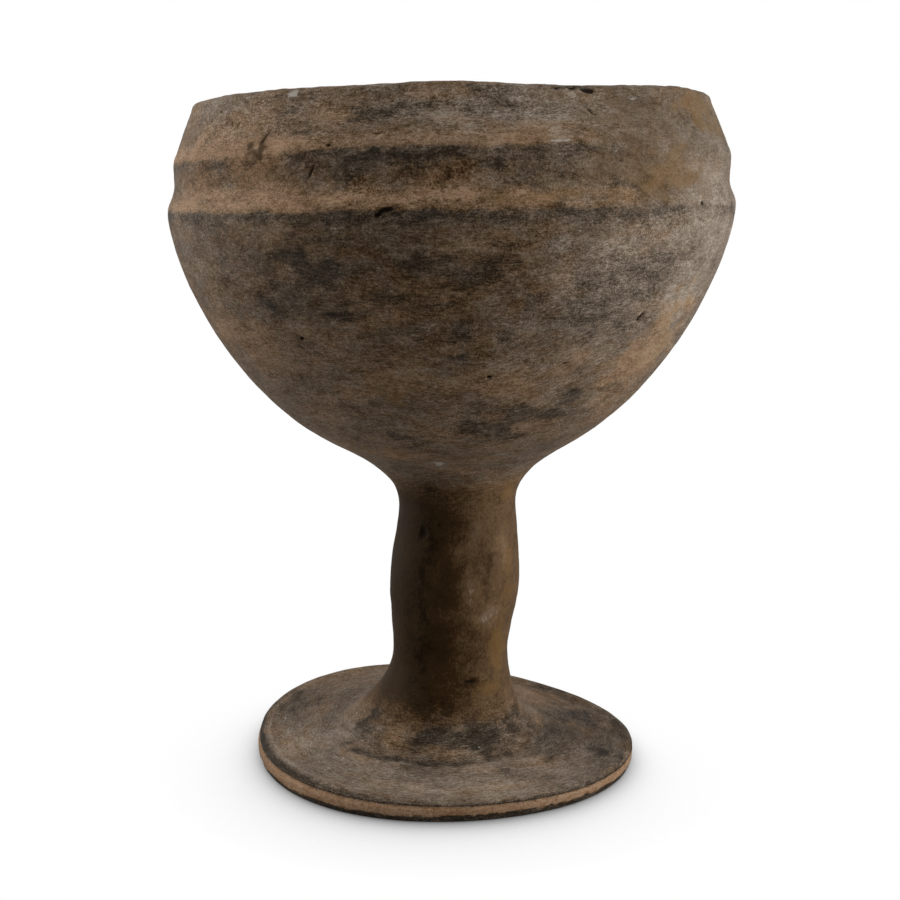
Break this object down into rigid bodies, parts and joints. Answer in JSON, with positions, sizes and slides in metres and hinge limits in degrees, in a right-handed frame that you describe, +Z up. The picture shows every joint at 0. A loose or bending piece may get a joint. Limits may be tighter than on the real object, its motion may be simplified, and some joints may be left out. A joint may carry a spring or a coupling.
{
  "type": "terracotta chalice",
  "caption": "Handmade burnished clay chalice: deep hollow bowl with ridges below the lip, a slightly swelling solid stem and a thin disc foot that it stands on.",
  "frame": {"origin": "on the surface the foot stands on, straight below the middle of the bowl", "axes": "+Z up, -Y toward the viewer of the picture, +X to that viewer's right"},
  "size_m": [0.1412, 0.1412, 0.1715],
  "materials": {
    "clay": "burnished brown-grey fired clay with black fire clouds, worn tan patches and a bare tan foot edge"
  },
  "bodies": {
    "root": {"chalice": "clay"}
  },
  "joints": []
}
